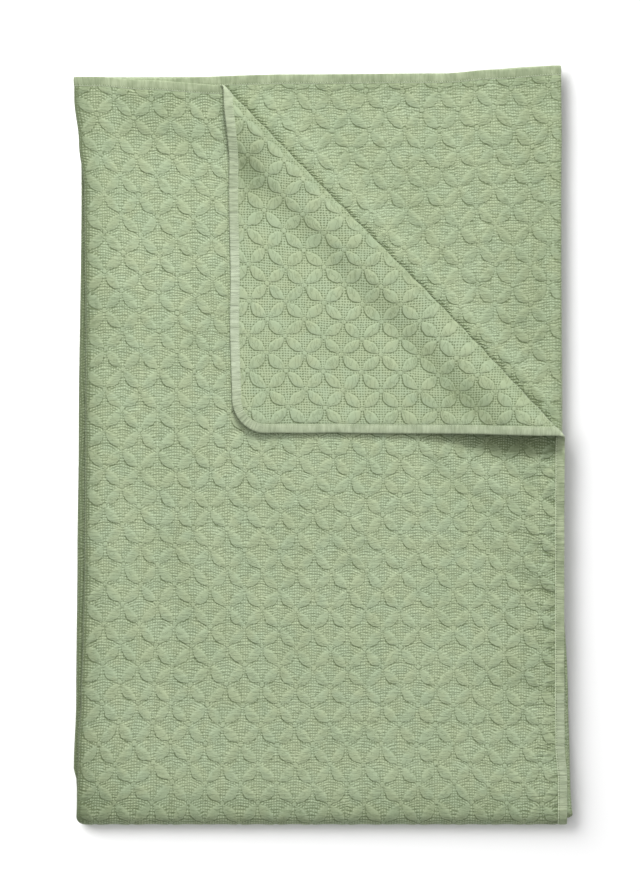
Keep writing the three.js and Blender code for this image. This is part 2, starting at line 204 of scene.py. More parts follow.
def folded_double(across, along):
    x, level = folded_in_three(across, along)
    run = np.abs(along)
    turn = math.pi / 2 * np.clip(along / LONG_REACH, -1, 1)
    end = np.where(along > 0, eased(ENDS, 1, across), eased(ENDS, 2, across))
    share = (run - LONG_REACH) / (HALF_LENGTH - LONG_REACH)
    in_turn = run <= LONG_REACH
    flat_y = LONG_LINE + (end - LONG_LINE) * share
    y = np.where(in_turn, LONG_LINE - LONG_BULGE * level * np.cos(turn), flat_y)
    z = np.where(in_turn, level * np.sin(turn), np.sign(along) * level)
    return x, y, z


levels = folded_double(np.array([0.3, 1.2, 2.0]), np.full(3, 0.6))[2]
print("levels of the layers in mm:", np.round(1000 * levels, 2))

# %% [markdown]
# ## The corner turned back
# The loose corner of the top layer is rolled over a slanting line. What lies past the line
# first goes up and round a small half circle, and then runs back over the cloth. On the real
# one the roll bows out a little past its middle and stands up in a soft ridge with a shallow
# trough beside it, and the edge of the turned-back piece lifts off at three places, where it
# throws its deepest shadows.

# %% The roll, its ridge and its lifts
ROLL_RADIUS = 0.0032
ROLL_START = np.array((-0.1737, 0.6247))
ROLL_END = np.array((0.4103, 0.0225))
roll_along = (ROLL_END - ROLL_START) / np.linalg.norm(ROLL_END - ROLL_START)
roll_out = np.array((-roll_along[1], roll_along[0]))
roll_line = ROLL_START - roll_out * (ROLL_RADIUS + THICKNESS / 2)
ROLL_LENGTH = math.pi * ROLL_RADIUS
BOW = {"middle": 0.56, "reach": 0.22, "out": 0.0042, "wave": 0.0006, "per_metre": 130, "fades": 0.030}
# where the hem and the end would lie if the corner were not turned back
CORNER_REACH = (0.431, 0.591)
# x, y, height and reach of each place where the turned-back piece stands off
LIFTS = [
    (-0.155, 0.025, 0.004, 0.070),
    (0.345, 0.022, 0.0185, 0.110),
    (-0.165, 0.560, 0.009, 0.090),
]
# the ridge and the trough: distance from the roll, half width and height
ROLL_WAVES = [
    (0.012, 0.018, 0.0016),
    (0.074, 0.022, -0.0026),
]


def bump_at(distance, middle, reach):
    """1 at a middle distance, fading away on both sides of it."""
    return np.exp(-((distance - middle) / reach) ** 2)


def past_roll(x, y):
    """How far a point of the top layer, laid flat, lies past the start of the roll."""
    return (x - roll_line[0]) * roll_out[0] + (y - roll_line[1]) * roll_out[1]


def bowed_out(x, y):
    """How far the roll stands out of its straight line beside a point; its edge is wavy."""
    run = (x - roll_line[0]) * roll_along[0] + (y - roll_line[1]) * roll_along[1]
    wavy = BOW["wave"] * np.sin(run * BOW["per_metre"])
    return BOW["out"] * bump_at(run, BOW["middle"], BOW["reach"]) + wavy


def turned_back(x, y, z):
    past = past_roll(x, y)
    turned = np.clip(past / ROLL_LENGTH, 0, 1)
    beyond = np.maximum(0, past - ROLL_LENGTH)
    back = np.where(past > 0, ROLL_RADIUS * np.sin(math.pi * turned) - beyond - past, 0)
    back = back + bowed_out(x, y) * bump_at(beyond + np.maximum(0, -past), 0, BOW["fades"])
    x = x + roll_out[0] * back
    y = y + roll_out[1] * back
    z = z + ROLL_RADIUS * (1 - np.cos(math.pi * turned))
    for lift_x, lift_y, height, reach in LIFTS:
        away = ((x - lift_x) ** 2 + (y - lift_y) ** 2) / reach ** 2
        z = z + height * turned * np.exp(-away)
    for from_roll, half_width, height in ROLL_WAVES:
        z = z + height * turned * bump_at(beyond, from_roll, half_width)
    return x, y, z


def under_corner(across, along, margin):
    """Whether the turned-back corner covers a place of the top layer, a margin inside its edges."""
    x, y, _ = folded_double(across, along)
    past = past_roll(x, y)
    reaches = (x - 2 * past * roll_out[0] < CORNER_REACH[0] - margin)
    reaches &= (y - 2 * past * roll_out[1] < CORNER_REACH[1] - margin)
    return reaches & (across < LEFT_FROM) & (along > LONG_REACH) & (past < 0)


print("the roll is", round(float(np.linalg.norm(ROLL_END - ROLL_START)), 3), "m long")

# %% [markdown]
# ## Soft creases placed one by one
# Washed cotton keeps shallow creases from how it was last folded. Each one here is a soft
# trough or ridge between two points, placed where the real cloth has it: a fan below the end
# of the turned-back corner, three of its creases sharp, a long one on the lower cloth near
# its right-hand side, and the slack before the long fold. They are about 1 to 2 mm deep, so
# the layers below stay clear.

# %% Troughs and ridges of the upper layers
# layer (top or under), start x and y, end x and y, half width, height
CREASES = [
    ("top", 0.190, -0.030, 0.415, -0.215, 0.014, -0.0016),
    ("top", 0.230, -0.135, 0.415, -0.285, 0.013, -0.0013),
    ("top", 0.300, -0.020, 0.420, -0.120, 0.012, -0.0017),
    ("top", 0.150, -0.070, 0.330, -0.240, 0.012, 0.0008),
    ("top", -0.370, 0.250, -0.340, 0.120, 0.022, -0.0010),
    ("top", -0.260, -0.160, -0.230, -0.370, 0.024, -0.0008),
    ("top", 0.270, -0.390, 0.360, -0.420, 0.020, -0.0010),
    ("top", -0.110, -0.080, 0.030, -0.250, 0.022, 0.0006),
    ("top", -0.330, 0.545, -0.190, 0.520, 0.018, -0.0008),
    ("top", -0.420, -0.628, 0.430, -0.628, 0.022, -0.0012),
    ("top", 0.250, 0.004, 0.425, -0.004, 0.016, -0.0018),
    ("top", 0.302, -0.080, 0.398, -0.166, 0.006, -0.0013),
    ("top", 0.318, -0.225, 0.402, -0.262, 0.006, -0.0009),
    ("top", 0.383, -0.288, 0.406, -0.326, 0.006, -0.0010),
    ("under", -0.155, 0.615, 0.395, 0.045, 0.009, -0.0010),
    ("under", 0.350, 0.640, 0.362, 0.150, 0.015, -0.0011),
    ("under", 0.120, 0.600, 0.330, 0.480, 0.020, -0.0007),
    ("under", 0.180, 0.420, 0.330, 0.330, 0.018, 0.0006),
]


def creased(x, y, layer):
    """The height that the creases of one layer add at each point."""
    height = np.zeros_like(x)
    for on, x0, y0, x1, y1, half_width, rise in CREASES:
        if on == layer:
            length = math.hypot(x1 - x0, y1 - y0)
            step = ((x1 - x0) / length, (y1 - y0) / length)
            run = (x - x0) * step[0] + (y - y0) * step[1]
            off = (x - x0) * step[1] - (y - y0) * step[0]
            past_end = np.maximum(0, np.maximum(-run, run - length))
            height += rise * np.exp(-(off ** 2 + past_end ** 2) / half_width ** 2)
    return height


print(len(CREASES), "creases")

# %% [markdown]
# ## From a flat place to a point in the room
# `lie` puts all of this together, and `facing` asks it for neighbouring points to find which
# way the front of the cloth faces there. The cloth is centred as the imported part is.

# %% Lay the cloth down
CENTRED = np.array((0.0, 0.0, 0.01525))
PROBE = 2e-5


def lie(across_cut, along_cut):
    across, along = rounded(across_cut, along_cut)
    x, y, z = folded_double(across, along)
    on_top = (across <= LEFT_FROM) & (along >= 0)
    under = (across >= RIGHT_TO) & (along >= LONG_REACH)
    eases_in = np.clip(np.abs(along) / LONG_REACH, 0, 1)
    rolled = turned_back(x, y, z)
    flat = past_roll(x, y) <= 0
    settle = np.where(on_top & flat, creased(x, y, "top"), 0) + np.where(under, creased(x, y, "under"), 0)
    turn_over = on_top & (along >= LONG_REACH)
    point = [np.where(turn_over, r, f) for r, f in zip(rolled, (x, y, z))]
    point[2] = point[2] + settle * eases_in
    return np.stack(point, axis=-1) + CENTRED


def facing(across, along):
    step_along = lie(across, along + PROBE) - lie(across, along - PROBE)
    step_across = lie(across + PROBE, along) - lie(across - PROBE, along)
    normal = np.cross(step_along, step_across)
    return normal / np.linalg.norm(normal, axis=-1, keepdims=True)


print("a point of the top layer:", np.round(lie(np.array([0.4]), np.array([0.6]))[0], 4))

# %% [markdown]
# ## The quilting
# The petals sit between the points of a slanting lattice, in rings of four that share their
# petals with the next rings. A loom sets the lattice, and washing pulls it about, so two
# tables say how many columns and rows lie before a place. Smooth noise, made from a seeded
# table of numbers, adds the small drift of every petal.

# %% Columns and rows of the weave
# a distance from the hem or from the end, and the columns or rows before it
COLUMNS_BEFORE = np.array([(0.0, -1.42), (0.0433, 0), (0.6508, 20), (1.9963, 63), (2.5043, 79.7)])
ROWS_BEFORE = np.array([(0.0, -0.93), (0.0307, 0), (0.8924, 26), (1.2725, 37.3), (2.5450, 75.3)])
# the size of the seeded tables, which start again past their ends
TABLE = (97, 101)
DRIFT = np.random.default_rng(31).uniform(-0.10, 0.10, (2, *TABLE))
DRIFT_PATCHES = 0.38


def drifting(table, columns, rows):
    """Smooth noise: the numbers of a table, eased between their places."""
    c, r = columns * DRIFT_PATCHES, rows * DRIFT_PATCHES
    i, j = np.floor(c).astype(int), np.floor(r).astype(int)

    def on_row(row):
        near, far = (table[k % TABLE[0], row % TABLE[1]] for k in (i, i + 1))
        return near + (far - near) * smooth(c - i)

    return on_row(j) * (1 - smooth(r - j)) + on_row(j + 1) * smooth(r - j)


def woven_at(across, along):
    """The column and the row of the weave at a place, whole where its lattice lines run."""
    columns = np.interp(across, *COLUMNS_BEFORE.T)
    rows = np.interp(HALF_LENGTH - along, *ROWS_BEFORE.T)
    return columns + drifting(DRIFT[0], columns, rows), rows + drifting(DRIFT[1], columns, rows)


print("columns and rows at the middle of the cloth:", woven_at(WIDTH / 2, 0.0))

# %% [markdown]
# Each petal is a lens round one edge of the lattice: `limit` is how wide it is at a place
# along it, and `tilt` runs from -1 at its upper edge to 1 at its lower edge. The lower side
# is fuller, so that two petals and the dot below them make one round scallop. The crest lies
# near the lower edge, so that a petal rises gently and drops steeply, like a fish scale. A
# small round dot stands at each point of the lattice. No two petals came out of the wash the
# same, so each has its own height from a seeded table.

# %% Relief of the petals
PETAL = {"half_length": 0.415, "half_width": 0.212, "height": 0.0009, "crest": 0.30, "fuller": 1.10}
DOT = {"radius": 0.095, "height": 0.0007}
UNEVEN = np.random.default_rng(12).uniform(0.50, 1.20, (2, *TABLE))
CURVE = PETAL["half_width"] / PETAL["half_length"] ** 2


def petals(columns, rows, side):
    p, q = (columns + rows) / 2, (columns - rows) / 2
    height = np.zeros_like(p)
    falling = 1 if side == "front" else -1
    for kind, (run, off, lower) in enumerate(((p, q, -1), (q, p, falling))):
        cell = np.floor(run).astype(int) % TABLE[0]
        line = np.round(off).astype(int) % TABLE[1]
        limit = PETAL["half_width"] - CURVE * (run - np.floor(run) - 0.5) ** 2
        down = lower * (off - np.round(off))
        tilt = down / np.maximum(limit * np.where(down > 0, PETAL["fuller"], 1), 1e-6)
        reach = np.where(tilt < PETAL["crest"], 1 + PETAL["crest"], 1 - PETAL["crest"])
        rise = np.clip(1 - ((tilt - PETAL["crest"]) / reach) ** 2, 0, 1)
        height = np.maximum(height, np.where(limit > 0, rise * UNEVEN[kind, cell, line], 0))
    away = np.hypot(p - np.round(p), q - np.round(q)) / DOT["radius"]
    return np.maximum(PETAL["height"] * height, DOT["height"] * np.clip(1 - away ** 2, 0, 1))


print("tallest petal", round(1000 * PETAL["height"] * float(UNEVEN.max()), 2), "mm")

# %% [markdown]
# The relief has to die away in three places: beside the tape, where the cloth is sewn down;
# on the outer part of a turn, where it is pulled tight; and along the roll.

# %% Relief with its quiet places
# where the relief starts past the tape and past the roll, and how far it takes to rise
PAST_TAPE = (0.0005, 0.006)
PAST_ROLL = (0.001, 0.014)
# the share of a turn in which it dies away
TURN_SHARE = 0.35


def edge_distance(across, along):
    """How far a place is from the cut edge of the cloth, also round its corners."""
    from_side = np.minimum(across, WIDTH - across)
    from_end = HALF_LENGTH - np.abs(along)
    to_centre = np.hypot(np.maximum(CORNER_RADIUS - from_side, 0), np.maximum(CORNER_RADIUS - from_end, 0))
    in_corner = (from_side < CORNER_RADIUS) & (from_end < CORNER_RADIUS)
    return np.where(in_corner, CORNER_RADIUS - to_centre, np.minimum(from_side, from_end))


def past_flat(across, along):
    """How far past the start of the roll a place of the top layer is, or -1 elsewhere."""
    x, y, _ = folded_double(*rounded(across, along))
    on_top = (across <= LEFT_FROM) & (along >= LONG_REACH)
    return np.where(on_top, past_roll(x, y), -1)


def slack(across, along):
    """1 where the cloth is slack, down to 0 where a turn or the roll pulls it smooth."""
    into_left = (across - LEFT_FROM) / (LEFT_TO - LEFT_FROM)
    into_right = (RIGHT_TO - across) / (RIGHT_TO - RIGHT_FROM)
    into_turn = np.where(across < WIDTH / 2, into_left, into_right)
    beyond = past_flat(across, along) - ROLL_LENGTH
    off_roll = np.where(beyond > -ROLL_LENGTH, risen(beyond, *PAST_ROLL), 1)
    return (1 - risen(into_turn, 0, TURN_SHARE)) * off_roll


def relief(across_cut, along_cut, side):
    across, along = rounded(across_cut, along_cut)
    unsewn = risen(edge_distance(across, along) - TAPE_WIDTH, *PAST_TAPE)
    return petals(*woven_at(across, along), side) * unsewn * slack(across_cut, along_cut)


print("slack in the middle of the top layer:", slack(np.array([0.4]), np.array([0.6])))

# %% [markdown]
# ## A net of blocks
# One block for each cell of the lattice is enough where nobody can look. Where the quilting
# shows, a block is divided in eight each way, which gives a point about every 4 mm, and in
# sixteen along the roll, whose edge has to stay smooth. Blocks of different fineness meet
# without cracks because the coarser one takes in its neighbour's points.

# %% Lines of the net
FINEST = 16
TURN_STEPS = 12
LONG_TURN_STEPS = 16
SEAM = TAPE_WIDTH - 0.0012


def spaced(start, end, steps):
    return [start + (end - start) * i / steps for i in range(steps + 1)]


def net_lines(*parts):
    """The stops of all parts, each once and in order."""
    return np.array(sorted({round(v, 7) for part in parts for v in part}))


column_lines = net_lines(
    [SEAM, WIDTH - SEAM],
    [column_line(i) for i in range(COLUMNS + 1)],
    spaced(LEFT_FROM, LEFT_TO, TURN_STEPS),
    spaced(RIGHT_FROM, RIGHT_TO, TURN_STEPS),
)
row_lines = net_lines(
    [SEAM - HALF_LENGTH, HALF_LENGTH - SEAM],
    spaced(FIRST_ROW - HALF_LENGTH, HALF_LENGTH - FIRST_ROW, 2 * ROWS_PER_HALF),
    spaced(-LONG_REACH, LONG_REACH, LONG_TURN_STEPS),
)
print(len(column_lines), "column lines,", len(row_lines), "row lines")

# %% [markdown]
# A block is asked four questions at its middle: is it on the front or the back, on which
# layer, on which side of the roll, and does the roll pass through it? The answer is the
# number of steps that it is divided in: 1 where it is hidden, 2 or 4 on the turns, which are
# pulled smooth, 8 where the quilting shows, and 16 along the roll.

# %% How finely each block is divided
# how far past the roll, or under the corner's edges, a block still counts as showing
MARGIN = 0.020
middle_across, middle_along = np.meshgrid(
    (column_lines[1:] + column_lines[:-1]) / 2, (row_lines[1:] + row_lines[:-1]) / 2, indexing="ij"
)
x, y, _ = folded_double(middle_across, middle_along)
past = past_roll(x, y)
upper = middle_along > LONG_REACH
in_long_turn = np.abs(middle_along) < LONG_REACH
top_layer = middle_across < LEFT_FROM
left_turn = (middle_across > LEFT_FROM) & (middle_across < LEFT_TO)
last_layer = middle_across > RIGHT_TO
right_turn = (middle_across > RIGHT_FROM) & ~last_layer
covered = under_corner(middle_across, middle_along, MARGIN)
along_roll = top_layer & upper & (np.abs(past - ROLL_LENGTH / 2) < MARGIN)

fineness = {side: np.ones(middle_across.shape, int) for side in ("front", "back")}
fineness["front"][top_layer & (upper | in_long_turn) & (past < MARGIN) & ~covered] = 8
fineness["front"][left_turn] = np.where(upper[left_turn], 4, 2)
fineness["front"][last_layer & upper & (past > -MARGIN)] = 8
fineness["front"][right_turn & upper] = 2
fineness["back"][top_layer & upper & (past > 0)] = 8
fineness["back"][along_roll] = FINEST
for side, grid in fineness.items():
    print(side, {n: int((grid == n).sum()) for n in (1, 2, 4, 8, 16)})

# %% [markdown]
# The fine turn lines make some blocks narrow already, so a block is divided only as far as
# its own size asks. Steps are whole parts of sixteen, and a place is a pair of whole numbers
# on that finest grid, which makes it easy to find a neighbour's point again.

# %% Steps of each block, and of the borders between blocks
NARROW = 0.01
narrow_columns = np.diff(column_lines)[:, None] < NARROW
narrow_rows = np.diff(row_lines)[None, :] < NARROW
steps = {
    side: (np.where(narrow_columns, 1, grid), np.where(narrow_rows, 1, grid))
    for side, grid in fineness.items()
}


def border_steps(side):
    """The steps along each column line and each row line, from the finer block beside it."""
    across_steps, along_steps = steps[side]
    on_columns = np.ones((len(column_lines), len(row_lines) - 1), int)
    on_rows = np.ones((len(column_lines) - 1, len(row_lines)), int)
    on_columns[:-1] = along_steps
    on_columns[1:] = np.maximum(on_columns[1:], along_steps)
    on_rows[:, :-1] = across_steps
    on_rows[:, 1:] = np.maximum(on_rows[:, 1:], across_steps)
    return on_columns, on_rows


borders = {side: border_steps(side) for side in fineness}
for edge in (0, -1):
    shared_column = np.maximum(borders["front"][0][edge], borders["back"][0][edge])
    shared_row = np.maximum(borders["front"][1][:, edge], borders["back"][1][:, edge])
    for side in borders:
        borders[side][0][edge] = np.maximum(shared_column, 2)
        borders[side][1][:, edge] = np.maximum(shared_row, 2)
print("steps along the hem:", int(borders["front"][0][0].sum()))

# %% [markdown]
# Each block then gives its small faces. On a block's border the stops come from the border
# itself, so that both neighbours use the same points, and a face there may have five or more
# corners.

# %% Faces of one side of the cloth
def faces_of(side):
    across_steps, along_steps = steps[side]
    on_columns, on_rows = borders[side]
    known = {}
    faces = []

    def place(i, j):
        return known.setdefault((i, j), len(known))

    def stops(start, end, count):
        return range(start, end, FINEST // int(count))

    for i in range(len(column_lines) - 1):
        for j in range(len(row_lines) - 1):
            wide, tall = int(across_steps[i, j]), int(along_steps[i, j])
            dx, dy = FINEST // wide, FINEST // tall
            for m in range(wide):
                for n in range(tall):
                    x0, y0 = i * FINEST + m * dx, j * FINEST + n * dy
                    x1, y1 = x0 + dx, y0 + dy
                    west = on_columns[i, j] if m == 0 else tall
                    east = on_columns[i + 1, j] if m == wide - 1 else tall
                    south = on_rows[i, j] if n == 0 else wide
                    north = on_rows[i, j + 1] if n == tall - 1 else wide
                    ring = [place(x0, s) for s in stops(y0, y1, west)]
                    ring += [place(s, y1) for s in stops(x0, x1, north)]
                    ring += [place(x1, y1 + y0 - s) for s in stops(y0, y1, east)]
                    ring += [place(x1 + x0 - s, y0) for s in stops(x0, x1, south)]
                    faces.append(ring)
    return np.array(list(known)), known, faces


nets = {side: faces_of(side) for side in steps}
print({side: f"{len(net[0])} points, {len(net[2])} faces" for side, net in nets.items()})

# %% [markdown]
# ## From two nets to one closed sheet
# The front net is pushed out along the way the cloth faces, and the back net the other way,
# each by half the thickness and its quilting. Near the tape the cloth is pressed thin, as
# sewing does. A wall joins the two nets along the rim, inside the tape, so that the sheet is
# closed.

# %% Places of the net in metres
# half the thickness in the seam, and how far from the tape the cloth is full again
SEWN_HALF = 0.0009
FULL_AFTER = 0.010


def places_of(grid_points):
    """Metres across and along for pairs of whole numbers on the finest grid."""
    def on_lines(lines, whole):
        index = np.minimum(whole // FINEST, len(lines) - 2)
        share = (whole - index * FINEST) / FINEST
        return lines[index] + (lines[index + 1] - lines[index]) * share

    return on_lines(column_lines, grid_points[:, 0]), on_lines(row_lines, grid_points[:, 1])


def half_thickness(across_cut, along_cut):
    """Half of the cloth's thickness, thinner where it is sewn into the tape."""
    share = risen(edge_distance(*rounded(across_cut, along_cut)), TAPE_WIDTH, FULL_AFTER)
    return SEWN_HALF + (THICKNESS / 2 - SEWN_HALF) * share * (2 - share)


def surface(across, along, side):
    sign = 1 if side == "front" else -1
    turned_over = past_flat(across, along) > 0
    shows = turned_over if side == "back" else ~turned_over & ~under_corner(across, along, MARGIN)
    raised = relief(across, along, side) * (shows & (along > -LONG_REACH))
    out = half_thickness(across, along) + raised
    return lie(across, along) + facing(across, along) * (sign * out)[:, None]


print("the cloth is pressed to", 2000 * SEWN_HALF, "mm in the seam")

# %% Build the quilted sheet
def mesh_object(name, vertices, faces):
    """A smooth mesh, pressed flat where it would dip below the surface that it lies on."""
    vertices[:, 2] = np.maximum(vertices[:, 2], 0)
    mesh = bpy.data.meshes.new(name)
    mesh.from_pydata(vertices.tolist(), [], faces)
    mesh.validate()
    made = bpy.data.objects.new(name, mesh)
    bpy.context.scene.collection.objects.link(made)
    mesh.polygons.foreach_set("use_smooth", [True] * len(mesh.polygons))
    return made


def rim_walls(front_net, back_net, offset):
    """Faces between the two nets, from every border edge of the front that has no neighbour."""
    places, _, faces = front_net
    edges = {(ring[k - 1], ring[k]) for ring in faces for k in range(len(ring))}
    walls = []
    for a, b in edges:
        if (b, a) not in edges:
            twin_a, twin_b = (offset + back_net[1][tuple(places[k])] for k in (a, b))
            walls.append([b, a, twin_a, twin_b])
    return walls


front, back = nets["front"], nets["back"]
front_flat, back_flat = places_of(front[0]), places_of(back[0])
vertices = np.concatenate([surface(*front_flat, "front"), surface(*back_flat, "back")])
offset = len(front[0])
back_faces = [[offset + k for k in reversed(ring)] for ring in back[2]]
walls = rim_walls(front, back, offset)
cloth = mesh_object("quilted_cloth", vertices, front[2] + back_faces + walls)
print("quilted cloth:", len(cloth.data.vertices), "points,", len(cloth.data.polygons), "faces")

# %% [markdown]
# Patterns have to follow the cloth round its folds, so every corner of every face keeps its
# own place in a UV map. The cloth keeps its column and row of the weave, and the tape will
# keep metres along it and across it. Three numbers at each point say where the cloth is
# slack, where it is pinched in the trough beside the roll, which also gets painted shade,
# and how much painted shade darkens it where it bends away from the light or lies low: by
# the folds, the tape and the roll, in creases, and under the lifted end of the corner.

# %% The places as a UV map
# how far from the roll the pinched strip, with its painted shade, starts to fade, and over
# what reach
PINCH_FROM, PINCH_REACH = 0.004, 0.015
# how much painted shade darkens a crease for each metre of its depth
SHADE_OF_DEPTH = 50
# beside which line, how far from it, the reach, and how much painted shade darkens the cloth
# there; a value below none is painted light, which makes it paler
PAINTED_SHADE_BESIDE = [
    ("left turn", 0, 0.030, 0.15),
    ("left turn", 0, 0.007, 0.22),
    ("long fold", 0, 0.045, 0.16),
    ("tape", TAPE_WIDTH, 0.018, 0.12),
    ("roll, on the lower cloth", 0.036, 0.026, -0.10),
    ("roll, on the corner", 0.067, 0.024, 0.17),
    ("edge of the roll", 0, 0.006, 0.24),
]
# on which part, the middle of the place, its reach both ways, and how much painted shade
# darkens it, a painted shadow under the lifted end of the corner; x and y in the room, but
# across and along the flat cloth on the turned-back corner
PAINTED_SHADE_PLACES = [
    ("top", 0.335, 0.002, 0.085, 0.018, 0.38),
    ("top", 0.215, 0.014, 0.060, 0.009, 0.24),
    ("top", -0.300, 0.570, 0.130, 0.060, 0.12),
    ("top", 0.355, -0.280, 0.055, 0.240, 0.09),
    ("top", -0.385, -0.600, 0.050, 0.120, 0.09),
    ("under", 0.360, 0.300, 0.050, 1.000, 0.07),
    ("corner", 0.060, 0.870, 0.035, 0.090, 0.16),
    ("corner", 0.455, 1.240, 0.070, 0.030, 0.18),
]


def pinch_and_shade(across, along):
    """1 in the trough of the lower cloth beside the roll, where the front also gets painted shade, and 0 away
    from it.
    """
    x, y, _ = folded_double(across, along)
    under = (across > RIGHT_TO) & (along > LONG_REACH)
    off = risen(past_roll(x, y) - bowed_out(x, y), PINCH_FROM, PINCH_REACH)
    return np.where(under, (1 - off) ** 2, 0)


def painted_shade_beside(line, distance):
    """How much painted shade darkens the cloth at a distance from a line."""
    return sum(darker * bump_at(distance, at, reach) for on, at, reach, darker in PAINTED_SHADE_BESIDE if on == line)


def painted_shade_of_places(part, first, second):
    """How much painted shade darkens the low places of one part."""
    shade = np.zeros_like(first)
    for on, a, b, reach_a, reach_b, darker in PAINTED_SHADE_PLACES:
        if on == part:
            shade += darker * bump_at(first, a, reach_a) * bump_at(second, b, reach_b)
    return shade


def bend(across, along):
    """How much painted shade darkens a place that leans out of the light or lies low."""
    x, y, _ = folded_double(across, along)
    from_left = x - eased(SIDES, 2, along)
    from_fold = y - LONG_LINE + 2.5 * LAYER * LONG_BULGE
    top = painted_shade_beside("left turn", from_left) + painted_shade_beside("long fold", from_fold) + painted_shade_of_places("top", x, y)
    top = top + SHADE_OF_DEPTH * np.maximum(0, -creased(x, y, "top"))
    under = painted_shade_of_places("under", x, y) + painted_shade_beside("roll, on the lower cloth", past_roll(x, y))
    lower_layer = (across > RIGHT_TO) & (along > LONG_REACH)
    flat = painted_shade_beside("tape", edge_distance(across, along))
    flat = flat + np.where(across < LEFT_TO, top, 0) + np.where(lower_layer, under, 0)
    beyond = past_flat(across, along) - ROLL_LENGTH
    on_corner = painted_shade_beside("roll, on the corner", beyond) + painted_shade_beside("edge of the roll", np.maximum(beyond, 0))
    on_corner = on_corner + painted_shade_of_places("corner", across, along)
    return np.where(beyond > -ROLL_LENGTH, on_corner, flat)


def keep_places(piece, first, second):
    uv = piece.data.uv_layers.new(name="places")
    corner = np.zeros(len(piece.data.loops), int)
    piece.data.loops.foreach_get("vertex_index", corner)
    uv.data.foreach_set("uv", np.stack([first[corner], second[corner]], axis=-1).ravel())


flat_across, flat_along = rounded(*(np.concatenate(both) for both in zip(front_flat, back_flat)))
keep_places(cloth, *woven_at(flat_across, flat_along))
for measure in (slack, pinch_and_shade, bend):
    kept = cloth.data.attributes.new(measure.__name__, "FLOAT", "POINT")
    kept.data.foreach_set("value", measure(flat_across, flat_along))
sides = [0] * len(front[2]) + [1] * (len(back_faces) + len(walls))
cloth.data.polygons.foreach_set("material_index", sides)
print("front faces:", sides.count(0), "back faces and walls:", sides.count(1))

# %% [markdown]
# ## The tape
# A straight strip of cotton is folded over the raw edge and sewn through, so its section is
# a flat loop with a full, rounded outer edge and a slight dip along the stitches. The
# section is swept round the whole cloth. A tape that goes round a corner or is sewn by hand
# feed never stays flat, so it puckers a little between stitches.

# %% Stops round the cloth
TAPE_STEP = 0.0042
CORNER_STOPS = 16
# distance from the outer edge, and how far the tape stands off the middle of the cloth
TAPE_SECTION = [
    (0.0162, 0.0004),
    (0.0160, 0.0013),
    (0.0153, 0.0017),
    (0.0144, 0.0014),
    (0.0130, 0.0018),
    (0.0100, 0.0020),
    (0.0060, 0.0020),
    (0.0025, 0.0019),
    (0.0008, 0.0014),
    (0.0001, 0.0006),
]
# the underside of the tape keeps its places this much further from the edge
UNDERSIDE = 0.05
JOIN = {"along": 0.232, "length": 0.030, "rise": 0.0007}
# the tape's own length up to its join, and up to the corner that is turned back
JOIN_RUN = HALF_LENGTH - CORNER_RADIUS + JOIN["along"]
CORNER_RUN = 2 * (HALF_LENGTH - CORNER_RADIUS) + math.pi / 2 * CORNER_RADIUS


def side_stops(reach):
    return np.array(spaced(-reach, reach, int(2 * reach / TAPE_STEP))[1:-1])


def ring_places(from_edge):
    """Places all round the cloth, a distance in from its edge: half the way, then its mirror."""
    turn = np.arange(2 * CORNER_STOPS + 1) / CORNER_STOPS
    share = (CORNER_RADIUS - from_edge) / CORNER_RADIUS
    side = CORNER_RADIUS * (1 - np.minimum(1, 2 - turn) * share)
    end = HALF_LENGTH - CORNER_RADIUS * (1 - np.minimum(1, turn) * share)
    up = side_stops(HALF_LENGTH - CORNER_RADIUS)
    over = WIDTH / 2 + side_stops(WIDTH / 2 - CORNER_RADIUS)
    across = np.concatenate([np.full(len(up), from_edge), side, over, WIDTH - side[::-1]])
    along = np.concatenate([up, end, np.full(len(over), HALF_LENGTH - from_edge), end[::-1]])
    return np.concatenate([across, WIDTH - across]), np.concatenate([along, -along])


def run_along(across, along):
    """The length of the way up to each of its places."""
    return np.concatenate([[0], np.cumsum(np.hypot(np.diff(across), np.diff(along)))])


ring_run = run_along(*ring_places(0.0))
print("tape stops:", len(ring_run), "round", round(float(ring_run[-1]), 2), "m")

# %% Sweep the tape's section round the cloth
PUCKER = 0.00010
# the waves of the puckers for each metre of tape, and where each starts
PUCKER_WAVES = [(410, 0), (640, 1.3), (173, 0.4)]


def puckers(run, from_edge):
    """A soft unevenness of the tape, strongest at its middle."""
    waves = sum(np.sin(run * per_metre + start) for per_metre, start in PUCKER_WAVES)
    return PUCKER * waves * math.sin(math.pi * min(from_edge / TAPE_WIDTH, 1))


def join_rise(across, along):
    """The doubled tape at its join, on the hem of the top layer."""
    down = JOIN["along"] - along
    on_join = (across < CORNER_RADIUS / 2) & (down > 0) & (down < JOIN["length"])
    return np.where(on_join, JOIN["rise"], 0)


tape_rows, tape_offsets = [], []
for sign in (1, -1):
    for from_edge, off in TAPE_SECTION[::sign]:
        across, along = ring_places(from_edge)
        stands = off + puckers(ring_run, from_edge) + join_rise(across, along)
        tape_rows.append(lie(across, along) + facing(across, along) * (sign * stands)[:, None])
        tape_offsets.append(from_edge + (0 if sign > 0 else UNDERSIDE))
around = len(ring_run)
tape_faces = []
for row in range(len(tape_rows)):
    here, there = row * around, (row + 1) % len(tape_rows) * around
    for k in range(around):
        after = (k + 1) % around
        tape_faces.append([here + k, here + after, there + after, there + k])
tape = mesh_object("edge_tape", np.concatenate(tape_rows), tape_faces)
keep_places(tape, np.tile(ring_run, len(tape_rows)), np.repeat(tape_offsets, around))
print("tape:", len(tape.data.polygons), "faces")

# %% [markdown]
# ## Topstitching
# One line of thread holds the tape. A single stitch is modelled by hand from a small sphere
# that is stretched and pressed flat, and its mesh is then laid along the seam again and
# again, on both faces of the cloth, with its ends sunk into the tape.

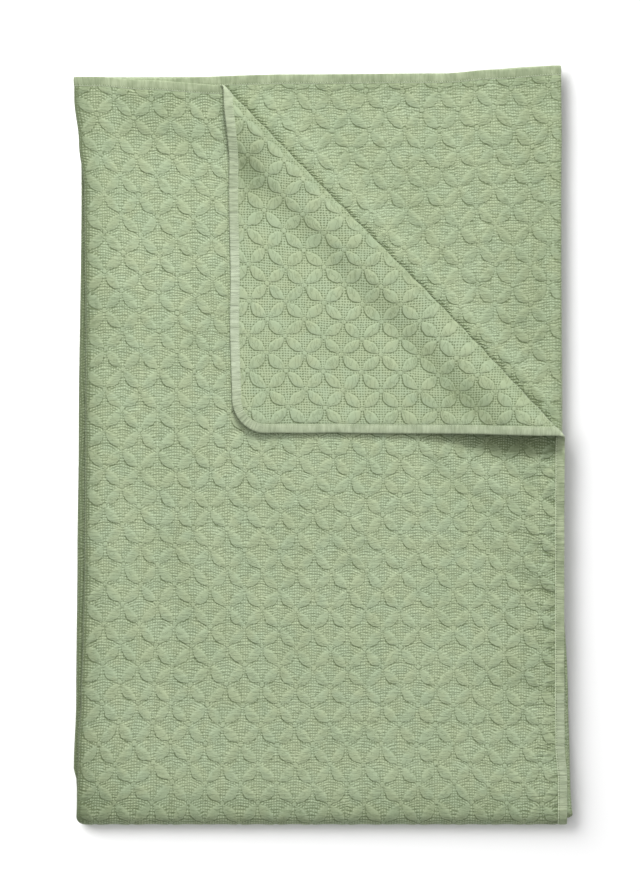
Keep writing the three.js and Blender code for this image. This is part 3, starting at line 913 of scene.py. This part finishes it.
# %% Model one stitch
STITCH = {"length": 0.0030, "width": 0.0008, "pitch": 0.0041, "from_edge": 0.0144, "height": 0.00155}
bpy.ops.object.select_all(action="DESELECT")
bpy.ops.mesh.primitive_uv_sphere_add(segments=6, ring_count=4, radius=STITCH["width"] / 2)
stitch = bpy.context.object
bpy.ops.object.mode_set(mode="EDIT")
bpy.ops.mesh.select_all(action="SELECT")
bpy.ops.transform.rotate(value=math.pi / 2, orient_axis="Y", center_override=(0, 0, 0))
bpy.ops.transform.resize(value=(STITCH["length"] / STITCH["width"], 1, 0.7))
bpy.ops.object.mode_set(mode="OBJECT")
stitch_points = np.array([v.co[:] for v in stitch.data.vertices])
# sorted, because the faces of a sphere come in another order on each run
stitch_faces = sorted(list(face.vertices) for face in stitch.data.polygons)
bpy.data.objects.remove(stitch)
print("one stitch:", len(stitch_points), "points,", len(stitch_faces), "faces")

# %% Lay the stitches round the tape
# how far along the seam a stitch looks to find its direction
AHEAD = 0.001
seam = ring_places(STITCH["from_edge"])
seam_run = run_along(*seam)
stops = np.arange(0, seam_run[-1], STITCH["pitch"])
at, ahead = ([np.interp(stops + step, seam_run, way) for way in seam] for step in (0, AHEAD))
forward = lie(*ahead) - lie(*at)
forward /= np.linalg.norm(forward, axis=-1, keepdims=True)
thread_points, thread_faces = [], []
for sign in (1, -1):
    normal = facing(*at) * sign
    centre = lie(*at) + normal * STITCH["height"]
    sideways = np.cross(normal, forward)
    for n in range(len(stops)):
        start = len(thread_points) * len(stitch_points)
        axes = np.stack([forward[n], sideways[n], normal[n]])
        thread_points.append(centre[n] + stitch_points @ axes)
        thread_faces += [[start + k for k in face] for face in stitch_faces]
thread = mesh_object("topstitching", np.concatenate(thread_points), thread_faces)
print("stitches:", len(thread_points))

# %% [markdown]
# ## Finishes
# All finishes are procedural and read the places in the UV map, so weave, ribs and petals
# run round folds without a break. A small helper wraps a number that varies over the
# surface, so that a pattern can be written as a formula and not as a tangle of links.

# %% A number that varies over the cloth
class Field:
    """A socket of a node tree that can be used in a formula."""

    def __init__(self, tree, socket):
        self.tree, self.socket = tree, socket

    def maths(self, operation, *others):
        node = self.tree.nodes.new("ShaderNodeMath")
        node.operation = operation
        for slot, value in zip(node.inputs, (self, *others)):
            if isinstance(value, Field):
                self.tree.links.new(value.socket, slot)
            else:
                slot.default_value = value
        return Field(self.tree, node.outputs[0])

    def __add__(self, other):
        return self.maths("ADD", other)

    def __sub__(self, other):
        return self.maths("SUBTRACT", other)

    def __mul__(self, other):
        return self.maths("MULTIPLY", other)

    def __truediv__(self, other):
        return self.maths("DIVIDE", other)

    def between(self, low, high):
        """0 at low, 1 at high, and eased between them; low may be the larger."""
        node = self.tree.nodes.new("ShaderNodeMapRange")
        node.interpolation_type = "SMOOTHSTEP"
        self.tree.links.new(self.socket, node.inputs["Value"])
        node.inputs["From Min"].default_value = low
        node.inputs["From Max"].default_value = high
        return Field(self.tree, node.outputs["Result"])

    def wave(self, per_turn):
        """A wave from -1 to 1, with this many crests for each whole step of the field."""
        return (self * (2 * math.pi * per_turn)).maths("SINE")


print("a Field adds, multiplies, divides and eases")

# %% [markdown]
# Every finish starts the same way: a principled shader that is matt, with a little sheen
# from the fibres, fed by a colour and a height. Height is in metres, so a bump of 0.0003
# really is 0.3 mm.

# %% Start a finish, and finish it
def new_finish(name, roughness):
    material = bpy.data.materials.new(name)
    material.use_nodes = True
    shader = material.node_tree.nodes["Principled BSDF"]
    shader.inputs["Roughness"].default_value = roughness
    shader.inputs["Specular IOR Level"].default_value = 0.2
    shader.inputs["Sheen Weight"].default_value = 0.15
    shader.inputs["Sheen Roughness"].default_value = 0.6
    return material


def apart(tree, socket):
    """The first two numbers of a vector socket."""
    parts = tree.nodes.new("ShaderNodeSeparateXYZ")
    tree.links.new(socket, parts.inputs[0])
    return Field(tree, parts.outputs["X"]), Field(tree, parts.outputs["Y"])


def places_in(tree):
    uv = tree.nodes.new("ShaderNodeUVMap")
    uv.uv_map = "places"
    return apart(tree, uv.outputs["UV"])


def cloudy(first, second, per_first, per_second, detail=2.0):
    """Noise from 0 to 1 with its own number of patches for each step of both fields."""
    tree = first.tree
    place = tree.nodes.new("ShaderNodeCombineXYZ")
    tree.links.new((first * per_first).socket, place.inputs["X"])
    tree.links.new((second * per_second).socket, place.inputs["Y"])
    noise = tree.nodes.new("ShaderNodeTexNoise")
    noise.inputs["Scale"].default_value = 1.0
    noise.inputs["Detail"].default_value = detail
    tree.links.new(place.outputs[0], noise.inputs["Vector"])
    return Field(tree, noise.outputs["Fac"])


def blend(share, first, second):
    """Two colours, or a colour and a socket, mixed by a share."""
    tree = share.tree
    mix = tree.nodes.new("ShaderNodeMix")
    mix.data_type = "RGBA"
    tree.links.new(share.socket, mix.inputs["Factor"])
    for slot, colour in ((mix.inputs["A"], first), (mix.inputs["B"], second)):
        if isinstance(colour, tuple):
            slot.default_value = (*colour, 1)
        else:
            tree.links.new(colour, slot)
    return mix.outputs["Result"]


def set_colour_and_height(material, colour, height):
    tree = material.node_tree
    shader = tree.nodes["Principled BSDF"]
    bump = tree.nodes.new("ShaderNodeBump")
    bump.inputs["Distance"].default_value = 1.0
    tree.links.new(height.socket, bump.inputs["Height"])
    tree.links.new(bump.outputs["Normal"], shader.inputs["Normal"])
    tree.links.new(colour, shader.inputs["Base Color"])
    return material


def kept_number(tree, name):
    """A number that the mesh keeps at each point."""
    attribute = tree.nodes.new("ShaderNodeAttribute")
    attribute.attribute_name = name
    return Field(tree, attribute.outputs["Fac"])


print("helpers for finishes are ready")

# %% [markdown]
# ## The woven petals
# The lattice formulas of the mesh are repeated as Fields, pulled about a little more by
# noise. They give the body of each petal, and a thin line of painted shade in the crease at
# its lower edge, away from the lamp; that line is darkest below the petals that run down to
# the right. The upper edge of a petal has hardly any crease: the ground slides into it. On
# the front each line also fades towards the upper tip, and on the back all edges are crisp.

# %% Petals as Fields
# how dark the painted shade lines are below petals that run down to the left and to the right,
# and above them; how much is left at the upper tips; where along the tilt a body rises and drops
FACES = {
    "front": {
        "falls": 1, "line": (0.46, 0.92), "upper": 0.16, "at_tip": 0.30,
        "rise": (-1.15, 0.1), "drop": (1.06, 0.72),
    },
    "back": {
        "falls": -1, "line": (0.48, 0.80), "upper": 0.30, "at_tip": 1.0,
        "rise": (-1.05, -0.35), "drop": (1.04, 0.60),
    },
}


def woven_petals(columns, rows, face):
    """The body of the petals and dots, the painted shade lines in their creases, and the place in a ring."""
    p, q = (columns + rows) * 0.5, (columns - rows) * 0.5
    centre = {name: field.maths("FRACT") - 0.5 for name, field in (("p", p), ("q", q))}
    line = {name: (field + 0.5).maths("FRACT") - 0.5 for name, field in (("p", p), ("q", q))}
    body, crease = None, None
    kinds = (("p", "q", -1, face["line"][0]), ("q", "p", face["falls"], face["line"][1]))
    for run, off, lower, dark in kinds:
        narrow_limit = centre[run] * centre[run] * -CURVE + PETAL["half_width"]
        present = narrow_limit.between(0.0, 0.05)
        down = line[off] * lower
        fuller = down.maths("GREATER_THAN", 0.0) * (PETAL["fuller"] - 1) + 1
        limit = narrow_limit * fuller
        tilt = down / limit.maths("MAXIMUM", 0.001)
        lens = tilt.between(*face["rise"]) * tilt.between(*face["drop"]) * present
        below, above = down - limit, down * -1 - limit
        to_low_tip = (centre[run] * (1 if run == "p" else -1)).between(-0.38, 0.08)
        shown = to_low_tip * (1 - face["at_tip"]) + face["at_tip"]
        lower_line = below.between(-0.030, 0.004) * below.between(0.060, 0.008) * dark
        upper_line = above.between(-0.030, 0.004) * above.between(0.040, 0.008) * face["upper"]
        lines = (lower_line + upper_line) * limit.between(-0.02, 0.13) * shown
        body = lens if body is None else body.maths("MAXIMUM", lens)
        crease = lines if crease is None else crease.maths("MAXIMUM", lines)
    away = (line["p"] * line["p"] + line["q"] * line["q"]).maths("SQRT")
    dot = away.between(DOT["radius"] * 1.15, DOT["radius"] * 0.5)
    ring = away.between(0.05, 0.09) * away.between(0.14, 0.10) * 0.35
    return {
        "body": body.maths("MAXIMUM", dot * 0.8),
        "crease": crease.maths("MAXIMUM", ring) * (dot * -1 + 1),
        "sideways": centre["p"] + centre["q"],
    }


print("petals are formulas of the column and the row")

# %% [markdown]
# ## Front and back of the cloth
# The two faces of this weave differ. On the front the ground has fine ribs that bow up under
# each ring and break up into dots, and the petals are puckered by fine level wrinkles. The
# front is more rumpled near its right-hand side, and it is gathered in small tucks beside
# the hem there and beside the roll. On the back the ground is an even mesh of tiny holes,
# and the petals are crisp. Both share their cotton colour, mottled by washing.

# %% The cotton
SAGE = {
    "light": (0.512, 0.606, 0.393),
    "deep": (0.457, 0.550, 0.346),
    "warm": (0.512, 0.585, 0.367),
    "cool": (0.471, 0.585, 0.399),
    "crease": (0.105, 0.140, 0.058),
}
# the furthest that shade, painted and of the weave's gaps, takes a colour towards the tone of a crease
DARKEST = 0.9


def mottled(columns, rows):
    """The washed colour, in patches as wide as a hand and others as small as a petal."""
    washed = blend(cloudy(columns, rows, 0.30, 0.30, 3).between(0.3, 0.7), SAGE["deep"], SAGE["light"])
    dyed = blend(cloudy(columns + 40, rows, 0.9, 0.9, 2).between(0.35, 0.65), SAGE["warm"], SAGE["cool"])
    return blend(cloudy(columns, rows + 40, 0.5, 0.5, 2) * 0.9, washed, dyed)


def shaded(shade, columns, rows):
    return blend(shade.maths("MINIMUM", DARKEST), mottled(columns, rows), SAGE["crease"])


def pulled(columns, rows):
    """The column and the row, moved about a little by noise."""
    sideways = (cloudy(columns, rows, 1.6, 1.6, 3) - 0.5) * 0.20
    lengthways = (cloudy(columns + 20, rows + 20, 1.6, 1.6, 3) - 0.5) * 0.20
    kinked = (cloudy(columns + 60, rows, 7, 7) - 0.5) * 0.08
    return columns + sideways + kinked, rows + lengthways - kinked


def wrinkled(columns, rows, per_column, per_row, width):
    """Thin lines where noise crosses its middle: 1 on a line and 0 off it."""
    return (cloudy(columns, rows, per_column, per_row, 2) - 0.5).maths("ABSOLUTE").between(width, 0.0)


print("the cotton has", len(SAGE), "tones")

# %% The finish of the front
RIBS_PER_ROW = 6.9
THREADS_PER_COLUMN = 7.0
RIB_BOW = 0.34
# small tucks beside the roll, the columns between which the hem puckers the cloth, and the
# column past which the cloth is more rumpled
TUCKS_PER_CELL = 1.7
BESIDE_HEM = (1.4, -0.8)
RUMPLED_FROM_COLUMN = 54


def front_finish():
    material = new_finish("quilted_front", 0.92)
    columns, rows = places_in(material.node_tree)
    slack_here, pinched_and_shaded, painted_shade_here = (kept_number(material.node_tree, n) for n in ("slack", "pinch_and_shade", "bend"))
    # petals fade where the cloth is pulled tight or pinched, and are faint in places
    loose, level = slack_here * 0.7 + 0.3, pinched_and_shaded * -1 + 1
    rumpled = columns.between(RUMPLED_FROM_COLUMN - 4, RUMPLED_FROM_COLUMN)
    across, down = pulled(columns, rows)
    quilt = woven_petals(across, down, FACES["front"])
    faint = cloudy(columns, rows, 1.3, 1.3, 1).between(0.30, 0.62) * 0.6 + 0.4
    body, crease = quilt["body"] * loose * level, quilt["crease"] * loose * level * faint
    ground = body.between(0.60, 0.08) * 0.88 + 0.12
    # ribs bow up inside each ring, waver a little and are broken into dots by the threads
    waver = (cloudy(columns, rows, 5, 9) - 0.5) * 0.10
    waver = waver + (cloudy(columns, rows, 4, 2.5) - 0.5) * (rumpled * 0.08 + 0.06)
    bowed = down - quilt["sideways"] * quilt["sideways"] * (rumpled * -0.20 + RIB_BOW) + waver
    ribs = bowed.wave(RIBS_PER_ROW)
    threads = (columns + waver * 0.5).wave(THREADS_PER_COLUMN)
    broken = cloudy(columns, rows, 1.6, 1.6, 1).between(0.15, 0.50) * (rumpled * -0.12 + 1) * level
    bright = ribs.between(-0.70, 0.50) * (threads.between(0.60, -0.70) * broken * -0.72 + 1)
    gaps = bright * -1 + 1
    # everything that has a depth, and then the same things as painted shade in their hollows
    wrinkles = wrinkled(columns, rows, 1.1, 5.0, 0.035)
    soft = cloudy(columns, rows, 2.0, 7.0, 2)
    height = body * 0.0001 + soft * 0.0011
    height = height - gaps * ground * (pinched_and_shaded * 0.0009 + 0.00018) - crease * 0.0004 - wrinkles * 0.0003
    tucks = (rows - columns + waver * 4).wave(TUCKS_PER_CELL).between(-0.3, 0.8)
    tucks = tucks * cloudy(columns, rows, 1.9, 1.9, 1).between(0.35, 0.60) * pinched_and_shaded * pinched_and_shaded
    by_hem = columns.between(*BESIDE_HEM)
    hem_tucks = cloudy(columns + 80, rows, 0.9, 4.0, 2).between(0.50, 0.64) * by_hem
    height = height - hem_tucks * 0.0008
    # painted shade: crease lines, rib gaps deeper beside the roll, wrinkles and tucks
    shade = crease * 0.72 + gaps * ground * (pinched_and_shaded * 0.78 + rumpled * -0.08 + 0.54)
    shade = shade + wrinkles * 0.18 + tucks * 0.60 + hem_tucks * 0.26 - by_hem * 0.05
    # painted shade in the trough beside the roll, on the tight turns and the roll's edge, and from the mesh's
    # painted shade numbers
    painted_roll_shade = pinched_and_shaded * pinched_and_shaded * 0.30 + pinched_and_shaded * 0.14
    shade = shade + body * 0.29 + rumpled * 0.11 + painted_roll_shade + (slack_here * -0.20 + 0.205) + painted_shade_here
    return set_colour_and_height(material, shaded(shade, columns, rows), height)


print("ribs of the front lie", round(1000 * CELL_ALONG / RIBS_PER_ROW, 1), "mm apart")

# %% The finish of the back
HOLES_PER_COLUMN = 7.0
HOLES_PER_ROW = 6.9


def back_finish():
    material = new_finish("quilted_back", 0.92)
    columns, rows = places_in(material.node_tree)
    slack_here, painted_shade_here = (kept_number(material.node_tree, n) for n in ("slack", "bend"))
    loose = slack_here * 0.3 + 0.7
    across, down = pulled(columns, rows)
    quilt = woven_petals(across, down, FACES["back"])
    ground = quilt["body"].between(0.35, 0.05)
    # holes lie where the gaps of two sets of threads cross
    waver = (cloudy(columns, rows, 4, 4) - 0.5) * 0.16 + (cloudy(columns, rows, 9, 9, 1) - 0.5) * 0.06
    one = (columns + waver * 0.5).wave(HOLES_PER_COLUMN)
    other = (rows + waver).wave(HOLES_PER_ROW)
    uneven = cloudy(columns, rows, 1.6, 1.6, 1).between(0.10, 0.60) * 0.5 + 0.5
    holes = (one.between(0.80, -0.70) * 0.85 + 0.15) * (other.between(0.50, -0.70) * 0.72 + 0.28) * uneven
    dents = wrinkled(columns, rows, 1.2, 3.6, 0.05)
    soft = cloudy(columns, rows, 2.0, 4.0, 2)
    height = quilt["body"] * slack_here * 0.0003 + soft * 0.0006
    height = height - holes * ground * 0.00022 - quilt["crease"] * loose * 0.0004
    height = height - dents * quilt["body"] * 0.0003
    # painted shade in the crease lines and dents of the petals, and from the mesh's painted shade numbers
    shade = quilt["crease"] * slack_here * 0.78 + holes * ground * loose * 0.70 + painted_shade_here
    shade = shade + dents * quilt["body"] * 0.18 + quilt["body"] * slack_here * 0.16 + 0.15
    return set_colour_and_height(material, shaded(shade, columns, rows), height)


for finish in (front_finish(), back_finish()):
    cloth.data.materials.append(finish)
    print(finish.name, "has", len(finish.node_tree.nodes), "nodes")

# %% [markdown]
# ## Tape and thread
# The tape is plain weave: two fine sets of threads at right angles, faint ribs across it
# where it puckers, and a deeper tone of the same washed colour, paler on its underside and
# paler still with painted light on the turned-back corner. The seam presses a narrow groove
# in it, with painted shade in uneven dashes, and each stitch makes a small pit at its end,
# darkened by painted shade. The thin inner edge of the tape, past the seam, gets a painted
# highlight.

# %% The finishes of the tape and the thread
THREAD_PITCH = 0.0012
TWIST_PITCH = 0.0009
TAPE_TONES = {
    "top": ((0.278, 0.334, 0.202), (0.392, 0.456, 0.290)),
    "below": ((0.445, 0.510, 0.362), (0.500, 0.570, 0.410)),
    "rim": (0.640, 0.720, 0.510),
}


def tape_finish():
    material = new_finish("binding_tape", 0.9)
    run, from_edge = places_in(material.node_tree)
    threads = run.wave(1 / THREAD_PITCH) + from_edge.wave(1 / THREAD_PITCH)
    # uneven puckers across the tape, and the seam with its pits and dashes
    puckered = cloudy(run, from_edge, 160, 14, 2)
    wrinkles = wrinkled(run, from_edge, 120, 16, 0.06)
    seam = from_edge.between(0.0129, 0.0141) * from_edge.between(0.0152, 0.0146)
    pits = seam * run.wave(1 / STITCH["pitch"]).between(0.3, -0.6)
    dashes = seam * cloudy(run, from_edge, 130, 10, 1).between(0.42, 0.54)
    # a painted highlight along the thin inner edge past the seam
    rim = from_edge.between(0.0145, 0.0152) * from_edge.between(0.0200, 0.0180)
    height = threads * 0.00003 + puckered * 0.0024 - seam * 0.0002 - wrinkles * 0.0002
    # painted shade in the seam's groove, its dashes and pits, the wrinkles and the hollows of the puckers
    shade = seam * 0.08 + dashes * 0.30 + pits * 0.60 + wrinkles * 0.18 + puckered.between(0.55, 0.35) * 0.12
    # the underside is paler, and painted light makes it paler still on the turned-back corner,
    # where it stands up into the light; one stretch of the tape before its join is paler too
    patches = cloudy(run, from_edge, 38, 38, 3).between(0.35, 0.65)
    top = blend(patches, *TAPE_TONES["top"])
    below = blend(patches, *TAPE_TONES["below"])
    past_join = run.between(JOIN_RUN + 0.001, JOIN_RUN - 0.001)
    past_join = past_join * run.between(JOIN_RUN - 0.25, JOIN_RUN - 0.15)
    by_corner = run.between(CORNER_RUN, CORNER_RUN + 0.06) * run.between(CORNER_RUN + 0.36, CORNER_RUN + 0.24)
    paler = (by_corner * 0.6 + 0.4) * from_edge.between(0.020, 0.045)
    colour = blend(paler.maths("MAXIMUM", past_join * 0.5), top, below)
    colour = blend(rim * 0.85, colour, TAPE_TONES["rim"])
    return set_colour_and_height(material, blend(shade, colour, SAGE["crease"]), height)


def thread_finish():
    material = new_finish("thread", 0.7)
    tree = material.node_tree
    where = tree.nodes.new("ShaderNodeTexCoord")
    x, y = apart(tree, where.outputs["Object"])
    twist = (x + y).wave(1 / TWIST_PITCH)
    colour = blend(cloudy(x, y, 40, 40, 2), SAGE["deep"], SAGE["light"])
    return set_colour_and_height(material, colour, twist * 0.00005)


tape.data.materials.append(tape_finish())
thread.data.materials.append(thread_finish())
print("tape and thread are finished")

# %% [markdown]
# ## Floor, light and camera
# The cloth lies on a plain white surface. Its main lamp stands far beyond the hems, almost
# straight behind them and about 32 degrees high, so that petals shade their lower edges and
# the turned-back corner shades the cloth beside it. A larger lamp above it softens that. The
# shadow round the stack falls down and to the right instead, so two lamps at the upper left
# light the floor only. The camera looks straight down from far away, so the edges of all
# layers line up as they do in the photograph.

# %% Floor
bpy.ops.object.select_all(action="DESELECT")
bpy.ops.mesh.primitive_plane_add(size=12)
floor = bpy.context.object
floor.name = "floor"
paper = bpy.data.materials.new("paper")
paper.use_nodes = True
paper.node_tree.nodes["Principled BSDF"].inputs["Base Color"].default_value = (0.9, 0.9, 0.9, 1)
paper.node_tree.nodes["Principled BSDF"].inputs["Roughness"].default_value = 0.9
floor.data.materials.append(paper)
print("floor is 12 m wide")

# %% Lights
def lit_only(name, pieces):
    group = bpy.data.collections.new(name)
    for piece in pieces:
        group.objects.link(piece)
    return group


def softbox(name, location, size, power, only):
    """A square lamp that faces the cloth and lights only the pieces of one group."""
    lamp = bpy.data.lights.new(name, "AREA")
    lamp.shape = "SQUARE"
    lamp.size = size
    lamp.energy = power
    made = bpy.data.objects.new(name, lamp)
    bpy.context.scene.collection.objects.link(made)
    made.location = location
    made.rotation_euler = (-made.location).to_track_quat("-Z", "Y").to_euler()
    made.light_linking.receiver_collection = only


on_cloth = lit_only("lit cloth", [cloth, tape, thread])
on_floor = lit_only("lit floor", [floor])
softbox("key", (0.4, 5.9, 3.65), 1.7, 388, on_cloth)
softbox("top", (0.0, 3.5, 5.7), 6.8, 196, on_cloth)
softbox("shadow", (-2.8, 2.6, 2.3), 4.0, 370, on_floor)
softbox("floor sky", (-1.2, 0.8, 4.2), 7.0, 75, on_floor)
world = bpy.data.worlds.new("studio")
world.use_nodes = True
world.node_tree.nodes["Background"].inputs["Color"].default_value = (1, 1, 1, 1)
world.node_tree.nodes["Background"].inputs["Strength"].default_value = 0.46
bpy.context.scene.world = world
bpy.context.scene.view_settings.view_transform = "Standard"
print("four softboxes and a plain sky")

# %% Camera
FRAME_HEIGHT = 1.544
CAMERA_DISTANCE = 8.0
TOP_LAYER_HEIGHT = 0.030
eye = bpy.data.cameras.new("camera")
eye.sensor_width = 36
eye.lens = eye.sensor_width * CAMERA_DISTANCE / FRAME_HEIGHT
eye.clip_end = 50
camera = bpy.data.objects.new("camera", eye)
bpy.context.scene.collection.objects.link(camera)
camera.location = (-0.0056, -0.0009, TOP_LAYER_HEIGHT + CAMERA_DISTANCE)
bpy.context.scene.camera = camera
print("lens", round(eye.lens, 1), "mm")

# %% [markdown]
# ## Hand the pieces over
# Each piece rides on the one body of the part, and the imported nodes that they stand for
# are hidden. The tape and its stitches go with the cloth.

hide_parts("quilted_panel")
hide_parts("edge_binding")
for piece in (cloth, tape, thread):
    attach(piece, "root")
